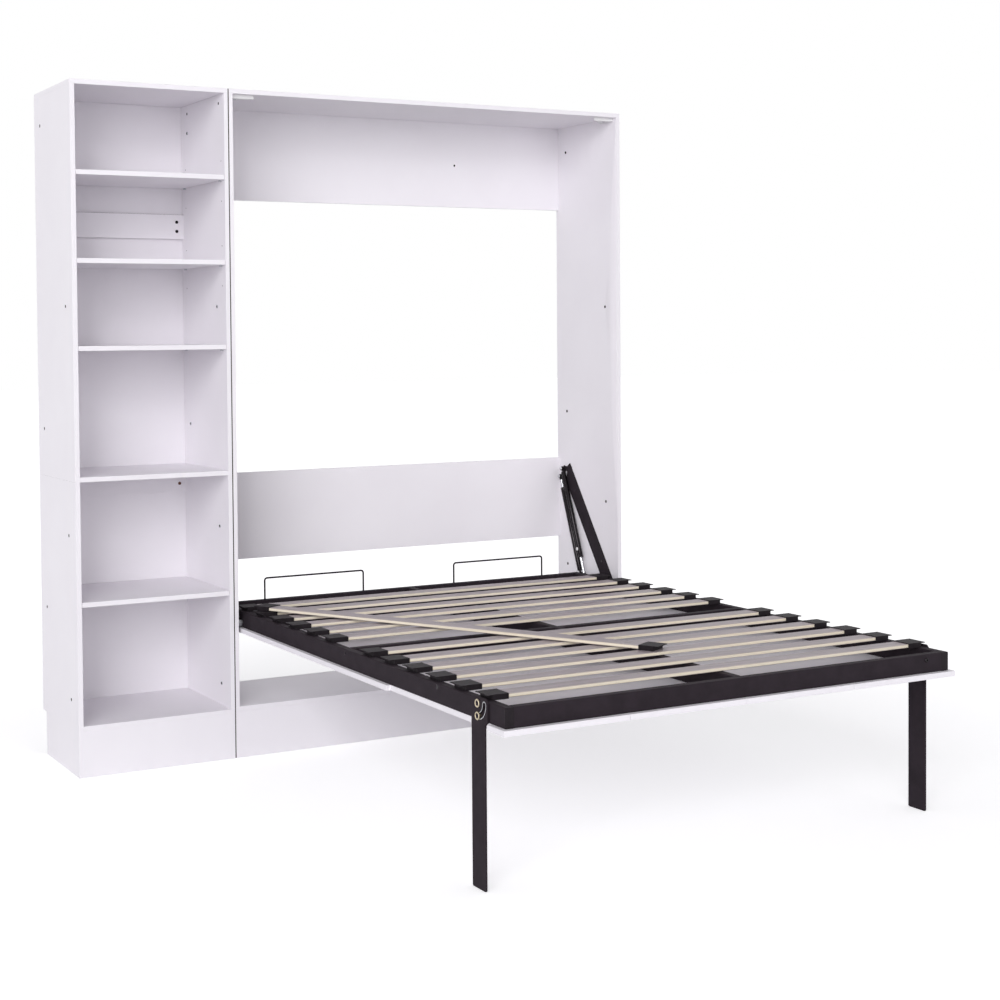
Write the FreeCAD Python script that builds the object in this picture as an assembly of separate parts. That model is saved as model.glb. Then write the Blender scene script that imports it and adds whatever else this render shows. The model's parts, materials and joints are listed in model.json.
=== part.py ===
import FreeCAD, Part
import math
import os

from FreeCAD import Vector

os.makedirs("parts", exist_ok=True)

# A wall bed shown folded down: a bed cabinet without a back, a tall open bookcase bolted to its left
# side, and a slatted steel bed frame on a door of four boards. The bed turns up into the cabinet about
# two bolts near the cabinet's front edge, balanced by two gas springs on each side.
# All lengths are in millimetres. X runs to the right, Y to the wall and Z up.

# Cabinet boards
overall_height = 2150.0
cabinet_depth = 405.0
board = 15.0
bookcase_width = 515.0
cabinet_width = 1500.0
skirting_depth = 40.0
skirting_height = 140.0
overrun = 1.0
parallel_share = 0.01
small_bar_sides = 6
nut_sides = 6
washer_sides = 10
eye_sides = 8

# Bookcase
bookcase_bottom_height = 145.0
bookcase_seam_height = 915.0
low_shelf_clear = 368.0
top_clear = 260.0
second_clear = 256.0
third_clear = 255.0
back_thickness = 5.0
shelf_play = 1.0
back_rail_height = 83.0
back_rail_rise = 86.0

# Shelf pins and their holes
pin_radius = 2.5
pin_depth = 8.0
pin_tab = 8.0
pin_tab_height = 5.0
pin_hole_depth = 9.0
pin_front = 32.0
pin_rear = 43.0
pin_hole_pitch = 64.0

# Holes and bolts that join neighbouring cabinets
joint_radius = 4.0
joint_front = 77.0
joint_rear = 67.0
joint_head_radius = 6.0
joint_head_height = 2.5
joint_top_drop = 93.0
joint_third_rise = 123.0
joint_fixed_rise = 137.0
joint_low_rise = 202.0
joint_low_drop = 40.0
joint_bottom_rise = 72.0

# Bed cabinet
cabinet_seam_height = 650.0
kick_height = 151.0
base_setback = 20.0
upper_rail_height = 307.0
middle_rail_height = 300.0
middle_rail_drop = 61.0
wall_hole_radius = 3.0
wall_hole_offset = 285.0
wall_hole_drop = 155.0
brace_leg = 80.0
brace_thickness = 12.0
brace_setback = 20.0

# Bed frame of rectangular steel tube
frame_bottom = 417.0
rail_height = 52.0
rail_width = 25.0
tube_wall = 1.5
tube_corner = 2.0
side_gap = 22.0
pivot_rise = 15.0
head_overhang = 210.0
pivot_tube_gap = 22.0
beam_width = 25.0
plug_flange = 2.0
plug_depth = 18.0
plug_play = 0.2

# Door of four boards under the frame
door_board_count = 4
door_overhang = 12.0
door_foot_overhang = 15.0
door_top_gap = 3.0
door_base_gap = 8.0
door_seam = 1.0

# Slats and their holders
slats_per_half = 6
slat_width = 55.0
slat_thickness = 10.0
slat_bevel = 1.5
foot_slat_gap = 65.0
head_slat_reach = 39.0
middle_slat_gap = 89.0
cap_length = 60.0
cap_block = 46.0
cap_width = 62.0
cap_floor = 2.0
cap_roof = 2.5
cap_pocket = 36.0
cap_inset = 2.0
slat_play = 0.3
slat_end_play = 1.0

# Loose slat that lies across the others
loose_slat_turn = 61.0
loose_slat_left = 335.0
loose_slat_back = 83.0

# Wire mattress stops on the head rail
stop_wire_radius = 3.0
stop_width = 370.0
stop_height = 75.0
stop_offset = 365.0
stop_bend = 10.0
stop_bend_steps = 3
stop_seat = 25.0
stop_play = 0.1

# Folding legs of flat bar
leg_width = 66.0
leg_thickness = 5.0
leg_play = 0.5
leg_corner = 10.0
leg_toe = 3.0
leg_ear_reach = 46.0
leg_ear_drop = 50.0
leg_ear_slope = 9.0
leg_setback = 122.0
leg_pivot_drop = 10.0
leg_top_rise = 16.0
leg_bolt_radius = 4.0
leg_bush_radius = 7.0
leg_guide_radius = 31.0
leg_slot_play = 0.3
leg_washer_radius = 10.0
leg_washer_height = 2.0
leg_nut_radius = 7.0
leg_nut_length = 10.0

# Pivot bolts of the bed
pivot_radius = 6.0
pivot_collar_radius = 11.0
pivot_nut_radius = 10.0
pivot_nut_length = 8.0
running_play = 0.05
face_play = 0.3

# Lifting plates on the cabinet sides
plate_thickness = 3.0
plate_lean = 35.0
plate_front_gap = 16.0
plate_foot_gap = 28.0
plate_foot_corner = 10.0
plate_width = 60.0
plate_shoulder_rise = 480.0
plate_head_rise = 524.0
plate_head_width = 19.0
plate_ear_half = 9.0
stud_radius = 3.5
stud_shoulder_radius = 6.0
stud_clip_radius = 5.0
stud_clip_length = 1.5

# Gas springs: a has its rod at the top, b has its rod at the bottom
spring_radius = 9.0
rod_radius = 4.5
eye_radius = 8.0
eye_thickness = 10.0
eye_neck = 14.0
eye_neck_radius = 4.5
spring_rail_gap = 0.7
spring_boss_radius = 7.0
spring_boss_height = 0.5
spring_end_wall = 6.0
spring_end_room = 2.0
spring_a_anchor_back = 24.0
spring_a_anchor_rise = 387.0
spring_a_arm = 200.0
spring_a_arm_rise = 29.0
spring_a_bare_rod = 45.0
spring_b_anchor_back = 37.0
spring_b_anchor_rise = 417.0
spring_b_arm = 172.0
spring_b_arm_rise = 22.0
spring_b_bare_rod = 75.0

# Heights and places worked out from the sizes above
overall_width = bookcase_width + cabinet_width
side_top = overall_height - board
bookcase_inner_left = board
bookcase_inner_right = bookcase_width - board
cabinet_inner_left = bookcase_width + board
cabinet_inner_right = overall_width - board
cabinet_middle = (cabinet_inner_left + cabinet_inner_right) / 2
half_bay = (cabinet_inner_right - cabinet_inner_left) / 2
rear_rail_front = cabinet_depth - board
middle_rail_bottom = cabinet_seam_height - middle_rail_drop

bookcase_bottom_top = bookcase_bottom_height + board
fixed_shelf_top = bookcase_seam_height + board
shelf_1_bottom = side_top - top_clear - board
shelf_2_bottom = shelf_1_bottom - second_clear - board
shelf_3_bottom = shelf_2_bottom - third_clear - board
shelf_4_bottom = bookcase_bottom_top + low_shelf_clear
shelf_bottoms = [shelf_1_bottom, shelf_2_bottom, shelf_3_bottom, shelf_4_bottom]
back_front = cabinet_depth - back_thickness

base_top = kick_height + board
frame_top = frame_bottom + rail_height
door_bottom = frame_bottom - board
pivot_z = frame_bottom + pivot_rise
pivot_y = pivot_z - door_bottom
half_frame = half_bay - side_gap
half_inside = half_frame - rail_width
door_half = half_frame + door_overhang
door_foot = pivot_y - (side_top - door_top_gap - pivot_z)
door_head = pivot_y + (pivot_z - base_top - door_base_gap)
frame_foot = door_foot + door_foot_overhang
frame_head = pivot_y + head_overhang

slat_bottom = frame_top + cap_floor
slat_top = slat_bottom + slat_thickness
cap_top = slat_top + cap_roof
cap_outer = half_frame - cap_inset
slat_half = cap_outer - cap_length + cap_pocket - slat_end_play
slat_foot_edge = frame_foot + rail_width + foot_slat_gap
slat_head_edge = pivot_y + head_slat_reach
middle_tube_y = (slat_foot_edge + slat_head_edge) / 2
half_slat_zone = middle_tube_y - rail_width / 2 - middle_slat_gap - slat_foot_edge
slat_pitch = (half_slat_zone - slat_width) / (slats_per_half - 1)
foot_slat_places = [slat_foot_edge + slat_width / 2 + slat_pitch * i for i in range(slats_per_half)]
head_slat_places = [slat_head_edge - slat_width / 2 - slat_pitch * i for i in range(slats_per_half)]

leg_y = frame_foot + leg_setback
leg_pivot_z = frame_top - leg_pivot_drop
leg_inner = half_frame + leg_play
leg_outer = leg_inner + leg_thickness

plate_inner = half_bay - plate_thickness
spring_middle = half_frame + spring_rail_gap + spring_radius
anchor_a = (rear_rail_front - spring_a_anchor_back, pivot_z + spring_a_anchor_rise)
anchor_b = (rear_rail_front - spring_b_anchor_back, pivot_z + spring_b_anchor_rise)
lower_a = (pivot_y + spring_a_arm, pivot_z + spring_a_arm_rise)
lower_b = (pivot_y + spring_b_arm, pivot_z + spring_b_arm_rise)

# The model's origin is on the floor, under the middle of the whole unfolded object.
middle_x = overall_width / 2
middle_y = (door_foot + cabinet_depth) / 2


def box(low, high):
    size = high - low
    return Part.makeBox(size.x, size.y, size.z, low)


def block(x0, x1, y0, y1, z0, z1):
    return box(Vector(x0, y0, z0), Vector(x1, y1, z1))


def bar_x(radius, x0, x1, y, z):
    """A round bar along X."""
    return Part.makeCylinder(radius, x1 - x0, Vector(x0, y, z), Vector(1, 0, 0))


def closed(points):
    """A closed outline through a row of points."""
    return Part.makePolygon(points + points[:1])


def ring(sides, radius, centre, axis):
    """A closed outline of equal sides, square to an axis, as wide over its corners as a round one."""
    first = Vector(0, 1, 0)
    if abs(axis.y) + abs(axis.z) > abs(axis.x):
        first = Vector(1, 0, 0)
    second = axis.cross(first).normalize()
    points = []
    for step in range(sides):
        turn = 2 * math.pi * step / sides
        points.append(centre + first * (radius * math.cos(turn)) + second * (radius * math.sin(turn)))
    return closed(points)


def prism(sides, radius, start, end):
    """A straight bar with flat faces between two points."""
    axis = end - start
    return Part.Face(ring(sides, radius, start, axis)).extrude(axis)


def span(side, near, far):
    """The two X limits of something that lies near to far from the bed's middle plane."""
    if side > 0:
        return cabinet_middle + near, cabinet_middle + far
    return cabinet_middle - far, cabinet_middle - near


def side_bar(side, radius, near, far, place):
    """A round bar along X on one side of the bed, at a (y, z) place."""
    x0, x1 = span(side, near, far)
    return bar_x(radius, x0, x1, place[0], place[1])


def side_prism(side, sides, radius, near, far, place):
    """A bar with flat faces along X on one side of the bed, at a (y, z) place."""
    x0, x1 = span(side, near, far)
    return prism(sides, radius, Vector(x0, place[0], place[1]), Vector(x1, place[0], place[1]))


def side_sheet(side, near, far, wire):
    """Extrudes a closed outline, drawn in the plane X = 0, between two distances from the middle plane."""
    x0, x1 = span(side, near, far)
    face = Part.Face(wire)
    face.translate(Vector(x0, 0, 0))
    return face.extrude(Vector(x1 - x0, 0, 0))


def edges_along(shape, direction):
    """The straight edges of a shape that run along a direction."""
    found = []
    for edge in shape.Edges:
        straight = edge.Curve.TypeId == "Part::GeomLine"
        if straight and edge.Curve.Direction.cross(direction).Length < parallel_share:
            found.append(edge)
    return found


def square_tube(low, high, direction):
    """A rectangular steel tube, open at both ends, along one axis."""
    outer = box(low, high)
    outer = outer.makeChamfer(tube_corner, edges_along(outer, direction))
    wall = Vector(tube_wall, tube_wall, tube_wall)
    wall = wall - direction * (tube_wall + overrun)
    return outer.cut(box(low + wall, high - wall))


def fuse(shapes):
    first = shapes[0]
    if len(shapes) > 1:
        first = first.fuse(shapes[1:])
    return first.removeSplitter()


def save(name, shapes):
    """Moves the pieces of one node to the model's frame and writes them to its file."""
    moved = []
    for shape in shapes:
        for solid in shape.Solids:
            piece = solid.copy()
            piece.translate(Vector(-middle_x, -middle_y, 0))
            moved.append(piece)
    result = moved[0] if len(moved) == 1 else Part.makeCompound(moved)
    result.exportStep("parts/" + name + ".step")


# Places of the joining holes, as (y, z)
joint_places = [
    (cabinet_depth - joint_rear, side_top - joint_top_drop),
    (joint_front, shelf_3_bottom + board + joint_third_rise),
    (cabinet_depth - joint_rear, fixed_shelf_top + joint_fixed_rise),
    (joint_front, shelf_4_bottom + board + joint_low_rise),
    (cabinet_depth - joint_rear, shelf_4_bottom - joint_low_drop),
    (joint_front, bookcase_bottom_top + joint_bottom_rise),
]


def joint_prism(sides, radius, x0, x1, place):
    return prism(sides, radius, Vector(x0, place[0], place[1]), Vector(x1, place[0], place[1]))


def side_board(x0, seam, upper, bolted):
    """One half of a side board with its joining holes, and the skirting cut-out on the lower half."""
    if upper:
        result = block(x0, x0 + board, 0, cabinet_depth, seam, side_top)
    else:
        result = block(x0, x0 + board, 0, cabinet_depth, 0, seam)
        notch = block(x0 - overrun, x0 + board + overrun, cabinet_depth - skirting_depth,
                      cabinet_depth + overrun, -overrun, skirting_height)
        result = result.cut(notch)
    start = x0 - overrun
    end = x0 + board + overrun
    if bolted:
        holes = [joint_prism(small_bar_sides, joint_radius, start, end, place) for place in joint_places]
    else:
        holes = [bar_x(joint_radius, start, end, y, z) for y, z in joint_places]
    return result.cut(holes)


# Bookcase: the sides have a row of spare pin holes above and below each of the two upper shelves
pin_columns = [pin_front, cabinet_depth - pin_rear]
pin_heights = [bottom - pin_tab_height / 2 for bottom in shelf_bottoms]
spare_heights = []
for height in pin_heights[:2]:
    spare_heights.append(height + pin_hole_pitch)
    spare_heights.append(height - pin_hole_pitch)


def pin_holes(x0, x1):
    places = [(y, z) for y in pin_columns for z in pin_heights + spare_heights]
    return [prism(small_bar_sides, pin_radius, Vector(x0, y, z), Vector(x1, y, z)) for y, z in places]


def make_bookcase():
    left_holes = pin_holes(bookcase_inner_left - pin_hole_depth, bookcase_inner_left + overrun)
    right_holes = pin_holes(bookcase_inner_right - overrun, bookcase_inner_right + pin_hole_depth)
    for upper, word in [(False, "lower"), (True, "upper")]:
        left = side_board(0, bookcase_seam_height, upper, False)
        right = side_board(bookcase_inner_right, bookcase_seam_height, upper, True)
        save("bookcase_left_side_" + word, [left.cut(left_holes)])
        save("bookcase_right_side_" + word, [right.cut(right_holes)])
    left = bookcase_inner_left
    right = bookcase_inner_right
    save("bookcase_top", [block(0, bookcase_width, 0, cabinet_depth, side_top, overall_height)])
    save("bookcase_bottom", [block(left, right, 0, back_front,
                                   bookcase_bottom_height, bookcase_bottom_top)])
    save("bookcase_kick_board", [block(left, right, 0, board, 0, bookcase_bottom_height)])
    save("bookcase_fixed_shelf", [block(left, right, 0, back_front,
                                        bookcase_seam_height, fixed_shelf_top)])
    for number, bottom in enumerate(shelf_bottoms, start=1):
        shelf = block(left + shelf_play, right - shelf_play, 0, back_front - shelf_play,
                      bottom, bottom + board)
        save("bookcase_shelf_%d" % number, [shelf])
    save("bookcase_back_lower", [block(left, right, back_front, cabinet_depth,
                                       bookcase_bottom_height, bookcase_seam_height)])
    save("bookcase_back_upper", [block(left, right, back_front, cabinet_depth,
                                       bookcase_seam_height, side_top)])
    rail_bottom = shelf_2_bottom + board + back_rail_rise
    save("bookcase_back_rail", [block(left, right, back_front - board, back_front,
                                      rail_bottom, rail_bottom + back_rail_height)])
    pins = []
    for bottom, height in zip(shelf_bottoms, pin_heights):
        for y in pin_columns:
            for peg0, peg1, tab0, tab1 in [(left - pin_depth, left, left, left + pin_tab),
                                           (right, right + pin_depth, right - pin_tab, right)]:
                peg = prism(small_bar_sides, pin_radius - running_play,
                            Vector(peg0, y, height), Vector(peg1, y, height))
                tab = block(tab0, tab1, y - pin_tab / 2, y + pin_tab / 2, bottom - pin_tab_height, bottom)
                pins.append(fuse([peg, tab]))
    save("shelf_pins", pins)


def make_cabinet():
    left = cabinet_inner_left
    right = cabinet_inner_right
    for upper, word in [(False, "lower"), (True, "upper")]:
        save("cabinet_left_side_" + word, [side_board(bookcase_width, cabinet_seam_height, upper, True)])
        save("cabinet_right_side_" + word, [side_board(right, cabinet_seam_height, upper, False)])
    save("cabinet_top", [block(bookcase_width, overall_width, 0, cabinet_depth, side_top, overall_height)])
    upper_rail = block(left, right, rear_rail_front, cabinet_depth, side_top - upper_rail_height, side_top)
    wall_hole = Part.makeCylinder(wall_hole_radius, board + overrun + overrun,
                                  Vector(cabinet_middle + wall_hole_offset, rear_rail_front - overrun,
                                         side_top - wall_hole_drop), Vector(0, 1, 0))
    save("cabinet_upper_rail", [upper_rail.cut(wall_hole)])
    save("cabinet_middle_rail", [block(left, right, rear_rail_front, cabinet_depth,
                                       middle_rail_bottom, middle_rail_bottom + middle_rail_height)])
    save("cabinet_base", [block(left, right, 0, cabinet_depth - base_setback, kick_height, base_top)])
    save("cabinet_kick_board", [block(left, right, 0, board, 0, kick_height)])
    braces = []
    for side in (-1, 1):
        corner = cabinet_middle + side * half_bay
        points = [Vector(corner, brace_setback, side_top),
                  Vector(corner - side * brace_leg, brace_setback, side_top),
                  Vector(corner, brace_setback + brace_leg, side_top)]
        face = Part.Face(closed(points))
        braces.append(face.extrude(Vector(0, 0, -brace_thickness)))
    save("corner_braces", braces)
    bolts = []
    for place in joint_places:
        shank = joint_prism(small_bar_sides, joint_radius - running_play, bookcase_inner_right, left, place)
        head_start = bookcase_inner_right - joint_head_height
        head = joint_prism(nut_sides, joint_head_radius, head_start, bookcase_inner_right, place)
        nut = joint_prism(nut_sides, joint_head_radius, left, left + joint_head_height, place)
        bolts.append(fuse([shank, head, nut]))
    save("joining_bolts", bolts)


def plate_point(rise, back):
    """A point of the plane X = 0, from the pivot along and across the leaning plate."""
    lean = math.radians(plate_lean)
    return Vector(0, pivot_y + rise * math.sin(lean) + back * math.cos(lean),
                  pivot_z + rise * math.cos(lean) - back * math.sin(lean))


def strap(start, end, half):
    """The outline of a strap with square ends about two points of the plane X = 0."""
    heading = (end - start).normalize()
    out = heading * half
    across = Vector(1, 0, 0).cross(heading) * half
    return closed([start - out - across, start - out + across, end + out + across, end + out - across])


def plate_outlines():
    """The arm of a lifting plate, and the two ears that carry the springs' studs."""
    front = -plate_front_gap
    rear = front + plate_width
    foot = -plate_foot_gap
    corner = plate_foot_corner
    arm = [plate_point(foot, front + corner), plate_point(foot + corner, front),
           plate_point(plate_head_rise, front), plate_point(plate_head_rise, front + plate_head_width),
           plate_point(plate_shoulder_rise, rear), plate_point(foot + corner, rear),
           plate_point(foot, rear - corner)]
    head = plate_point(plate_head_rise - plate_head_width, front + plate_head_width / 2)
    upper = Vector(0, anchor_b[0], anchor_b[1])
    lower = Vector(0, anchor_a[0], anchor_a[1])
    return [closed(arm), strap(head, upper, plate_ear_half), strap(upper, lower, plate_ear_half)]


def make_lifting_plates():
    """Each plate leans back from the pivot bolt to the springs' upper studs."""
    pivot = (pivot_y, pivot_z)
    eye_far = spring_middle + eye_thickness / 2
    eye_near = spring_middle - eye_thickness / 2
    pivot_bolts = []
    for side, word in [(-1, "left"), (1, "right")]:
        plate = fuse([side_sheet(side, plate_inner, half_bay, outline) for outline in plate_outlines()])
        plate = plate.cut(side_prism(side, small_bar_sides, pivot_radius + running_play,
                                     plate_inner - overrun, half_bay + overrun, pivot))
        studs = []
        for anchor in (anchor_a, anchor_b):
            shoulder_face = eye_far + face_play
            clip_face = eye_near - face_play
            clip_end = clip_face - stud_clip_length
            shoulder = side_prism(side, nut_sides, stud_shoulder_radius, shoulder_face, plate_inner, anchor)
            pin = side_bar(side, stud_radius, clip_face, shoulder_face, anchor)
            clip = side_prism(side, small_bar_sides, stud_clip_radius, clip_end, clip_face, anchor)
            studs.append(fuse([shoulder, pin, clip]))
        save("lifting_plate_" + word, [plate] + studs)
        nut_face = half_inside - face_play
        collar_face = half_frame + face_play
        bolt = [side_bar(side, pivot_radius, nut_face, collar_face, pivot),
                side_prism(side, small_bar_sides, pivot_radius, plate_inner, half_bay, pivot),
                side_prism(side, nut_sides, pivot_nut_radius, nut_face - pivot_nut_length, nut_face, pivot),
                side_prism(side, nut_sides, pivot_collar_radius, collar_face, plate_inner, pivot)]
        pivot_bolts.append(fuse(bolt))
    save("pivot_bolts", pivot_bolts)


def along(start, heading, distance):
    """The point at a distance from a start along a unit heading."""
    return start + heading * distance


def make_spring(side, word, letter, upper, lower, bare_rod, rod_on_top):
    """One gas spring: a piston rod with its eye, and a cylinder with a blind bore and its own eye."""
    x0, x1 = span(side, spring_middle, spring_middle)
    start = Vector(x0, upper[0], upper[1])
    end = Vector(x0, lower[0], lower[1])
    if not rod_on_top:
        start, end = end, start
    length = (end - start).Length
    heading = (end - start).normalize()
    eye_near = spring_middle - eye_thickness / 2
    eye_far = spring_middle + eye_thickness / 2

    def with_eye(shape, centre, neck_end):
        """Adds an eye and the neck that carries it."""
        place = (centre.y, centre.z)
        eye = side_prism(side, eye_sides, eye_radius, eye_near, eye_far, place)
        neck = prism(nut_sides, eye_neck_radius, centre, neck_end)
        bore = side_bar(side, stud_radius + running_play, eye_near - overrun, eye_far + overrun, place)
        return fuse([shape, eye, neck]).cut(bore)

    rod_start = along(start, heading, eye_neck)
    rod_length = length - spring_end_wall - spring_end_room - eye_neck - eye_neck
    rod = Part.makeCylinder(rod_radius, rod_length, rod_start, heading)
    save("spring_%s_rod_%s" % (letter, word), [with_eye(rod, start, rod_start)])

    mouth = along(start, heading, bare_rod)
    barrel_length = length - bare_rod - eye_neck
    barrel = Part.makeCylinder(spring_radius, barrel_length, mouth, heading)
    bore = Part.makeCylinder(rod_radius + running_play, barrel_length - spring_end_wall + overrun,
                             along(mouth, heading, -overrun), heading)
    cylinder = with_eye(barrel, end, along(end, heading, -eye_neck)).cut(bore)
    save("spring_%s_cylinder_%s" % (letter, word), [cylinder])


def make_springs():
    for side, word in [(-1, "left"), (1, "right")]:
        make_spring(side, word, "a", anchor_a, lower_a, spring_a_bare_rod, True)
        make_spring(side, word, "b", anchor_b, lower_b, spring_b_bare_rod, False)


def make_rails():
    """The side rails with their pivot holes, leg holes and spring bosses, and the tubes between them."""
    plugs = []
    for side, word in [(-1, "left"), (1, "right")]:
        x0, x1 = span(side, half_inside, half_frame)
        rail = square_tube(Vector(x0, frame_foot + plug_flange, frame_bottom),
                           Vector(x1, frame_head - plug_flange, frame_top), Vector(0, 1, 0))
        boss_end = half_frame + spring_boss_height
        boss_start = half_frame - tube_wall
        bosses = [side_prism(side, small_bar_sides, spring_boss_radius, boss_start, boss_end, place)
                  for place in (lower_a, lower_b)]
        rail = fuse([rail] + bosses)
        hollow = half_frame - rail_width / 2
        outside = half_frame + overrun
        guide = (leg_y, leg_pivot_z - leg_guide_radius)
        pivot = (pivot_y, pivot_z)
        cuts = [side_bar(side, pivot_radius + running_play, half_inside - overrun, outside, pivot),
                side_prism(side, small_bar_sides, leg_bolt_radius + running_play, hollow, outside,
                           (leg_y, leg_pivot_z)),
                side_prism(side, small_bar_sides, leg_bolt_radius + running_play, hollow, outside, guide)]
        save("rail_" + word, [rail.cut(cuts)])
        inside = tube_wall + plug_play
        for end, inward in [(frame_foot, 1), (frame_head, -1)]:
            flange_end = end + inward * plug_flange
            body_end = end + inward * (plug_flange + plug_depth)
            flange = block(x0, x1, min(end, flange_end), max(end, flange_end), frame_bottom, frame_top)
            flange = flange.makeChamfer(tube_corner, edges_along(flange, Vector(0, 1, 0)))
            body = block(x0 + inside, x1 - inside, min(end, body_end), max(end, body_end),
                         frame_bottom + inside, frame_top - inside)
            plugs.append(fuse([flange, body]))
    save("rail_plugs", plugs)
    x0, x1 = span(1, -half_inside, half_inside)
    across = Vector(1, 0, 0)
    head = square_tube(Vector(x0, frame_head - rail_width, frame_bottom),
                       Vector(x1, frame_head, frame_top), across)
    stop_y = frame_head - rail_width / 2
    holes = []
    for middle in (-stop_offset, stop_offset):
        for end in (-stop_width / 2, stop_width / 2):
            bottom = Vector(cabinet_middle + middle + end, stop_y, frame_top - rail_height / 2)
            above = bottom + Vector(0, 0, rail_height / 2 + overrun)
            holes.append(prism(small_bar_sides, stop_wire_radius + stop_play, bottom, above))
    save("head_rail", [head.cut(holes)])
    save("foot_rail", [square_tube(Vector(x0, frame_foot, frame_bottom),
                                   Vector(x1, frame_foot + rail_width, frame_top), across)])
    pivot_tube_rear = pivot_y - pivot_tube_gap
    save("pivot_tube", [square_tube(Vector(x0, pivot_tube_rear - rail_width, frame_bottom),
                                    Vector(x1, pivot_tube_rear, frame_top), across)])
    save("middle_tube", [square_tube(Vector(x0, middle_tube_y - rail_width / 2, frame_bottom),
                                     Vector(x1, middle_tube_y + rail_width / 2, frame_top), across)])
    beams = []
    stations = [(frame_foot + rail_width, middle_tube_y - rail_width / 2),
                (middle_tube_y + rail_width / 2, pivot_tube_rear - rail_width),
                (pivot_tube_rear, frame_head - rail_width)]
    for y0, y1 in stations:
        beams.append(square_tube(Vector(cabinet_middle - beam_width / 2, y0, frame_bottom),
                                 Vector(cabinet_middle + beam_width / 2, y1, frame_top), Vector(0, 1, 0)))
    save("centre_beam", beams)


def make_door():
    """Four boards under the frame. The outer two are cut back beside the legs so that the legs can fold."""
    pitch = (door_half * 2 + door_seam) / door_board_count
    leg_length = leg_pivot_z
    reach = math.sqrt(leg_length ** 2 - rail_height ** 2)
    for number in range(door_board_count):
        x0 = cabinet_middle - door_half + pitch * number
        result = block(x0, x0 + pitch - door_seam, door_foot, door_head, door_bottom, frame_bottom)
        for side in (-1, 1):
            n0, n1 = span(side, half_frame, door_half + overrun)
            relief = block(n0, n1, leg_y - leg_ear_reach - leg_washer_radius, leg_y + reach + leg_width / 2,
                           door_bottom - overrun, frame_bottom + overrun)
            result = result.cut(relief)
        save("door_board_%d" % (number + 1), [result])


def cap_shape():
    """A slat holder along +X: a block with a pocket for the slat's end, and a roof that reaches past it."""
    height = cap_floor + slat_thickness + cap_roof
    start = cap_length - cap_block
    points = [Vector(start, 0, 0), Vector(cap_length, 0, 0), Vector(cap_length, 0, height),
              Vector(0, 0, height), Vector(0, 0, height - cap_roof), Vector(start, 0, height - cap_roof)]
    face = Part.Face(closed(points))
    face.translate(Vector(0, -cap_width / 2, 0))
    body = face.extrude(Vector(0, cap_width, 0))
    pocket = block(cap_length - cap_pocket, cap_length + overrun,
                   -slat_width / 2 - slat_play, slat_width / 2 + slat_play,
                   cap_floor - slat_play, cap_floor + slat_thickness + slat_play)
    return body.cut(pocket)


def slat_shape():
    """A slat along X about the origin, with its underside at height zero."""
    result = block(-slat_half, slat_half, -slat_width / 2, slat_width / 2, 0, slat_thickness)
    return result.makeChamfer(slat_bevel, edges_along(result, Vector(1, 0, 0)))


def make_slats():
    left_caps = []
    right_caps = []
    for name, places in [("slats_foot", foot_slat_places), ("slats_head", head_slat_places)]:
        slats = []
        for y in places:
            slat = slat_shape()
            slat.translate(Vector(cabinet_middle, y, slat_bottom))
            slats.append(slat)
            left = cap_shape()
            left.translate(Vector(cabinet_middle - cap_outer, y, frame_top))
            left_caps.append(left)
            right = cap_shape()
            right.rotate(Vector(0, 0, 0), Vector(0, 0, 1), math.degrees(math.pi))
            right.translate(Vector(cabinet_middle + cap_outer, y, frame_top))
            right_caps.append(right)
        save(name, slats)
    # The loose slat lies with one holder on the other holders and the other on the slats.
    slat = slat_shape()
    slat.translate(Vector(0, 0, cap_floor))
    near = cap_shape()
    near.translate(Vector(-cap_outer, 0, 0))
    far = cap_shape()
    far.rotate(Vector(0, 0, 0), Vector(0, 0, 1), math.degrees(math.pi))
    far.translate(Vector(cap_outer, 0, 0))
    tip = math.degrees(math.atan2(cap_top - slat_top, cap_outer * 2 - cap_length))
    rest = (cap_top + slat_top) / 2 + face_play
    place = Vector(cabinet_middle - loose_slat_left, middle_tube_y + loose_slat_back, rest)
    for piece in (slat, near, far):
        piece.rotate(Vector(0, 0, 0), Vector(0, 1, 0), tip)
        piece.rotate(Vector(0, 0, 0), Vector(0, 0, 1), -loose_slat_turn)
        piece.translate(place)
    save("loose_slat", [slat])
    save("slat_caps_left", left_caps + [near])
    save("slat_caps_right", right_caps + [far])


def make_mattress_stops():
    """Two wire hoops that stand in the head rail."""
    y = frame_head - rail_width / 2
    low = frame_top - stop_seat
    high = frame_top + stop_height - stop_wire_radius
    for word, middle in [("left", -stop_offset), ("right", stop_offset)]:
        x0 = cabinet_middle + middle - stop_width / 2
        x1 = cabinet_middle + middle + stop_width / 2
        bend = []
        for step in range(stop_bend_steps + 1):
            turn = math.pi / 2 * step / stop_bend_steps
            bend.append((stop_bend * (1 - math.cos(turn)), high - stop_bend * (1 - math.sin(turn))))
        points = [Vector(x0, y, low)]
        points += [Vector(x0 + inward, y, z) for inward, z in bend]
        points += [Vector(x1 - inward, y, z) for inward, z in reversed(bend)]
        points.append(Vector(x1, y, low))
        section = ring(small_bar_sides, stop_wire_radius, points[0], Vector(0, 0, 1))
        save("mattress_stop_" + word, [Part.makePolygon(points).makePipeShell([section], True, False, 1)])


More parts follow.
